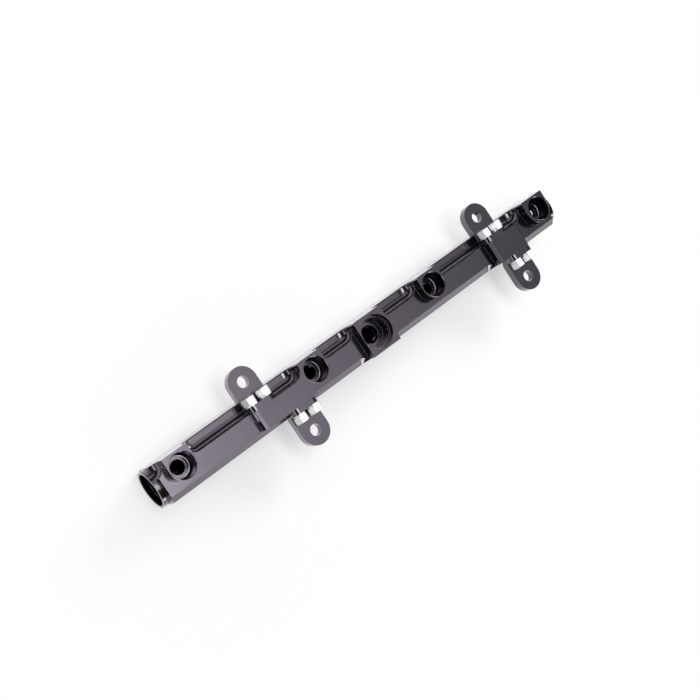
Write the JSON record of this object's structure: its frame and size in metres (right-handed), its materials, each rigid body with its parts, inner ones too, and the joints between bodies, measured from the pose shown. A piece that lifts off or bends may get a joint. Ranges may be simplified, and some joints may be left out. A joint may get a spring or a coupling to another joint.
{
  "type": "fuel rail",
  "caption": "Machined aluminium fuel rail with injector cups along one side, a threaded port at each end and one in the middle, and bolt-on L-shaped mounting brackets.",
  "frame": {"origin": "middle of the flat underside, halfway between the two inner injectors and on the flow bore's plane", "axes": "+X along the rail towards the end with the shorter shoulder, +Y across it towards the side with the cove, +Z out of the injector cups"},
  "size_m": [0.2953, 0.0619, 0.032],
  "materials": {
    "anodised_rail": "satin black anodised, machined",
    "anodised_bracket": "satin black anodised, machined",
    "screw_steel": "bright zinc plated",
    "washer_steel": "bright zinc plated"
  },
  "bodies": {
    "root": {"rail_body": "anodised_rail", "bracket_a_back": "anodised_bracket", "bracket_a_front": "anodised_bracket", "bracket_b_back": "anodised_bracket", "bracket_b_front": "anodised_bracket", "lock_washer_a_back_1": "washer_steel", "screw_a_back_1": "screw_steel", "lock_washer_a_back_2": "washer_steel", "screw_a_back_2": "screw_steel", "lock_washer_a_front_1": "washer_steel", "screw_a_front_1": "screw_steel", "lock_washer_a_front_2": "washer_steel", "screw_a_front_2": "screw_steel", "lock_washer_b_back_1": "washer_steel", "screw_b_back_1": "screw_steel", "lock_washer_b_back_2": "washer_steel", "screw_b_back_2": "screw_steel", "lock_washer_b_front_1": "washer_steel", "screw_b_front_1": "screw_steel", "lock_washer_b_front_2": "washer_steel", "screw_b_front_2": "screw_steel"}
  },
  "joints": []
}
